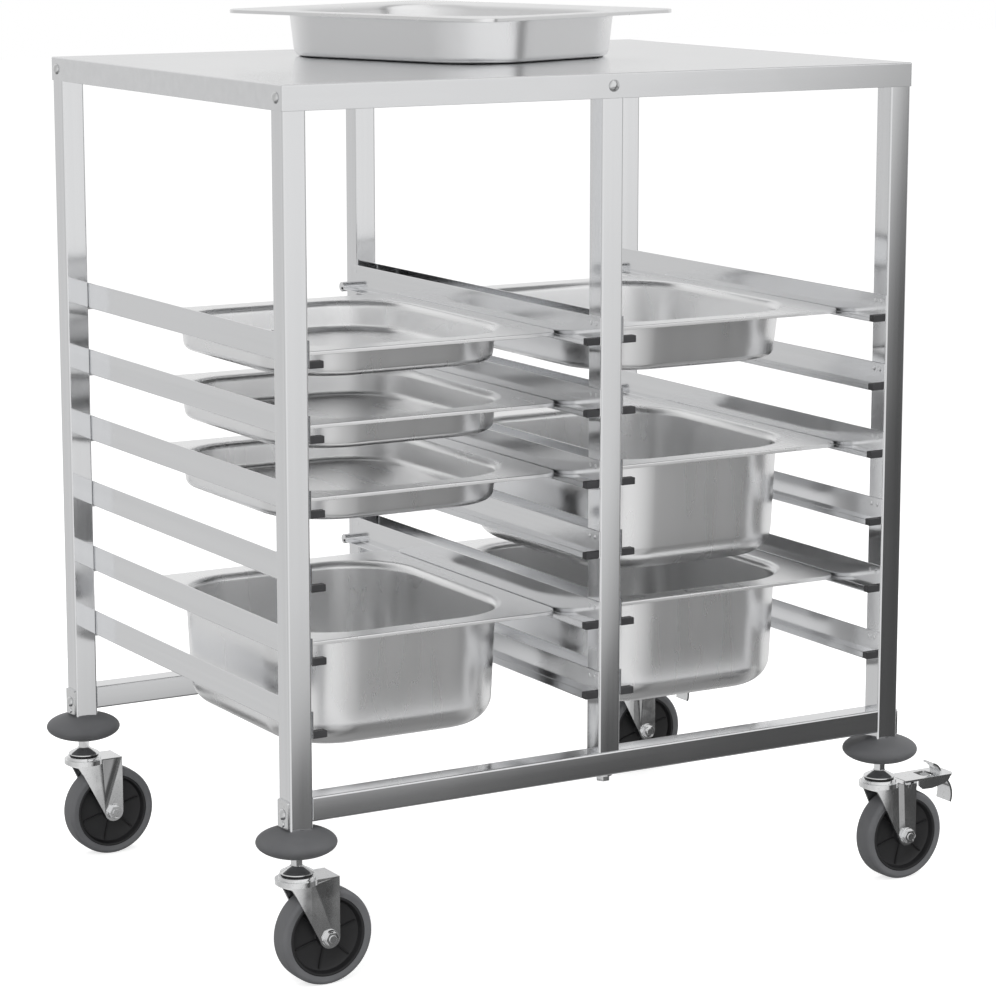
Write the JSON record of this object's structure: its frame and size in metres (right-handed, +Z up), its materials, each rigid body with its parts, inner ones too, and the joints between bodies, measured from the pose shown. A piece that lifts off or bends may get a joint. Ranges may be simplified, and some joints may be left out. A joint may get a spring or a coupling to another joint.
{
  "type": "gastronorm tray trolley with work surface",
  "caption": "Stainless steel tray trolley with a flat work surface, runners in two bays, pull-out pressed trays and braked swivel casters",
  "frame": {"origin": "on the floor, under the middle of the bounding box", "axes": "+Z up; the front with the open tray bays faces -Y; the braked casters are at +X"},
  "size_m": [0.8424, 0.606, 0.9402],
  "materials": {
    "frame_steel": "smooth bright stainless",
    "tray_steel": "satin stainless",
    "bright_metal": "bright plated",
    "grey_rubber": "matt",
    "tyre_rubber": "matt",
    "black_plastic": "matt"
  },
  "bodies": {
    "frame": {"table_top": "frame_steel", "leg_front_left": "frame_steel", "leg_front_middle": "frame_steel", "leg_front_right": "frame_steel", "leg_back_left": "frame_steel", "leg_back_middle": "frame_steel", "leg_back_right": "frame_steel", "rail_front": "frame_steel", "rail_back": "frame_steel", "runners_left_1": "frame_steel", "runners_left_2": "frame_steel", "runners_left_3": "frame_steel", "runners_left_4": "frame_steel", "runners_left_5": "frame_steel", "runners_left_6": "frame_steel", "runners_right_1": "frame_steel", "runners_right_2": "frame_steel", "runners_right_3": "frame_steel", "runners_right_4": "frame_steel", "runners_right_5": "frame_steel", "runners_right_6": "frame_steel", "runner_stops": "black_plastic", "tube_inserts": "black_plastic", "dome_bolts": "bright_metal", "middle_leg_bolts": "bright_metal", "side_plates": "bright_metal", "bumper_front_left": "grey_rubber", "bumper_front_right": "grey_rubber", "bumper_back_left": "grey_rubber", "bumper_back_right": "grey_rubber", "head_front_left": "bright_metal", "head_front_right": "bright_metal", "head_back_left": "bright_metal", "head_back_right": "bright_metal", "swivel_bearings": "black_plastic"},
    "tray_left_1": {"tray_left_1": "tray_steel"},
    "tray_left_2": {"tray_left_2": "tray_steel"},
    "tray_left_3": {"tray_left_3": "tray_steel"},
    "tray_left_5": {"tray_left_5": "tray_steel"},
    "tray_right_1": {"tray_right_1": "tray_steel"},
    "tray_right_3": {"tray_right_3": "tray_steel"},
    "tray_right_5": {"tray_right_5": "tray_steel"},
    "tray_top": {"tray_top": "tray_steel"},
    "swivel_front_left": {"fork_front_left": "bright_metal", "axle_front_left": "bright_metal"},
    "wheel_front_left": {"tyre_front_left": "tyre_rubber", "hub_front_left": "black_plastic"},
    "swivel_front_right": {"fork_front_right": "bright_metal", "axle_front_right": "bright_metal"},
    "wheel_front_right": {"tyre_front_right": "tyre_rubber", "hub_front_right": "black_plastic"},
    "swivel_back_left": {"fork_back_left": "bright_metal", "axle_back_left": "bright_metal"},
    "wheel_back_left": {"tyre_back_left": "tyre_rubber", "hub_back_left": "black_plastic"},
    "swivel_back_right": {"fork_back_right": "bright_metal", "axle_back_right": "bright_metal"},
    "wheel_back_right": {"tyre_back_right": "tyre_rubber", "hub_back_right": "black_plastic"},
    "brake_front_right": {"pedal_front_right": "bright_metal"},
    "brake_back_right": {"pedal_back_right": "bright_metal"}
  },
  "joints": [
    {"name": "tray_left_1_slide", "type": "slide", "parent": "frame", "child": "tray_left_1", "axis": [0, -1, 0], "range_m": [-0.078, 0.064]},
    {"name": "tray_left_2_slide", "type": "slide", "parent": "frame", "child": "tray_left_2", "axis": [0, -1, 0], "range_m": [-0.078, 0.064]},
    {"name": "tray_left_3_slide", "type": "slide", "parent": "frame", "child": "tray_left_3", "axis": [0, -1, 0], "range_m": [-0.078, 0.064]},
    {"name": "tray_left_5_slide", "type": "slide", "parent": "frame", "child": "tray_left_5", "axis": [0, -1, 0], "range_m": [-0.078, 0.064]},
    {"name": "tray_right_1_slide", "type": "slide", "parent": "frame", "child": "tray_right_1", "axis": [0, -1, 0], "range_m": [-0.078, 0.064]},
    {"name": "tray_right_3_slide", "type": "slide", "parent": "frame", "child": "tray_right_3", "axis": [0, -1, 0], "range_m": [-0.078, 0.064]},
    {"name": "tray_right_5_slide", "type": "slide", "parent": "frame", "child": "tray_right_5", "axis": [0, -1, 0], "range_m": [-0.078, 0.064]},
    {"name": "tray_top_lift", "type": "slide", "parent": "frame", "child": "tray_top", "axis": [0, 0, 1], "range_m": [0, 0.15]},
    {"name": "swivel_front_left_turn", "type": "hinge", "parent": "frame", "child": "swivel_front_left", "pos_m": [-0.38075, -0.2625, 0.112], "axis": [0, 0, 1], "continuous": true},
    {"name": "wheel_front_left_spin", "type": "hinge", "parent": "swivel_front_left", "child": "wheel_front_left", "pos_m": [-0.35275, -0.2625, 0.05], "axis": [0, 1, 0], "continuous": true},
    {"name": "swivel_front_right_turn", "type": "hinge", "parent": "frame", "child": "swivel_front_right", "pos_m": [0.32925, -0.2625, 0.112], "axis": [0, 0, 1], "continuous": true},
    {"name": "wheel_front_right_spin", "type": "hinge", "parent": "swivel_front_right", "child": "wheel_front_right", "pos_m": [0.35725, -0.2625, 0.05], "axis": [0, 1, 0], "continuous": true},
    {"name": "swivel_back_left_turn", "type": "hinge", "parent": "frame", "child": "swivel_back_left", "pos_m": [-0.38075, 0.2625, 0.112], "axis": [0, 0, 1], "continuous": true},
    {"name": "wheel_back_left_spin", "type": "hinge", "parent": "swivel_back_left", "child": "wheel_back_left", "pos_m": [-0.35275, 0.2625, 0.05], "axis": [0, 1, 0], "continuous": true},
    {"name": "swivel_back_right_turn", "type": "hinge", "parent": "frame", "child": "swivel_back_right", "pos_m": [0.32925, 0.2625, 0.112], "axis": [0, 0, 1], "continuous": true},
    {"name": "wheel_back_right_spin", "type": "hinge", "parent": "swivel_back_right", "child": "wheel_back_right", "pos_m": [0.35725, 0.2625, 0.05], "axis": [0, 1, 0], "continuous": true},
    {"name": "brake_front_right_press", "type": "hinge", "parent": "swivel_front_right", "child": "brake_front_right", "pos_m": [0.35925, -0.2625, 0.105], "axis": [0, 1, 0], "range_deg": [0, 7]},
    {"name": "brake_back_right_press", "type": "hinge", "parent": "swivel_back_right", "child": "brake_back_right", "pos_m": [0.35925, 0.2625, 0.105], "axis": [0, 1, 0], "range_deg": [0, 7]}
  ]
}
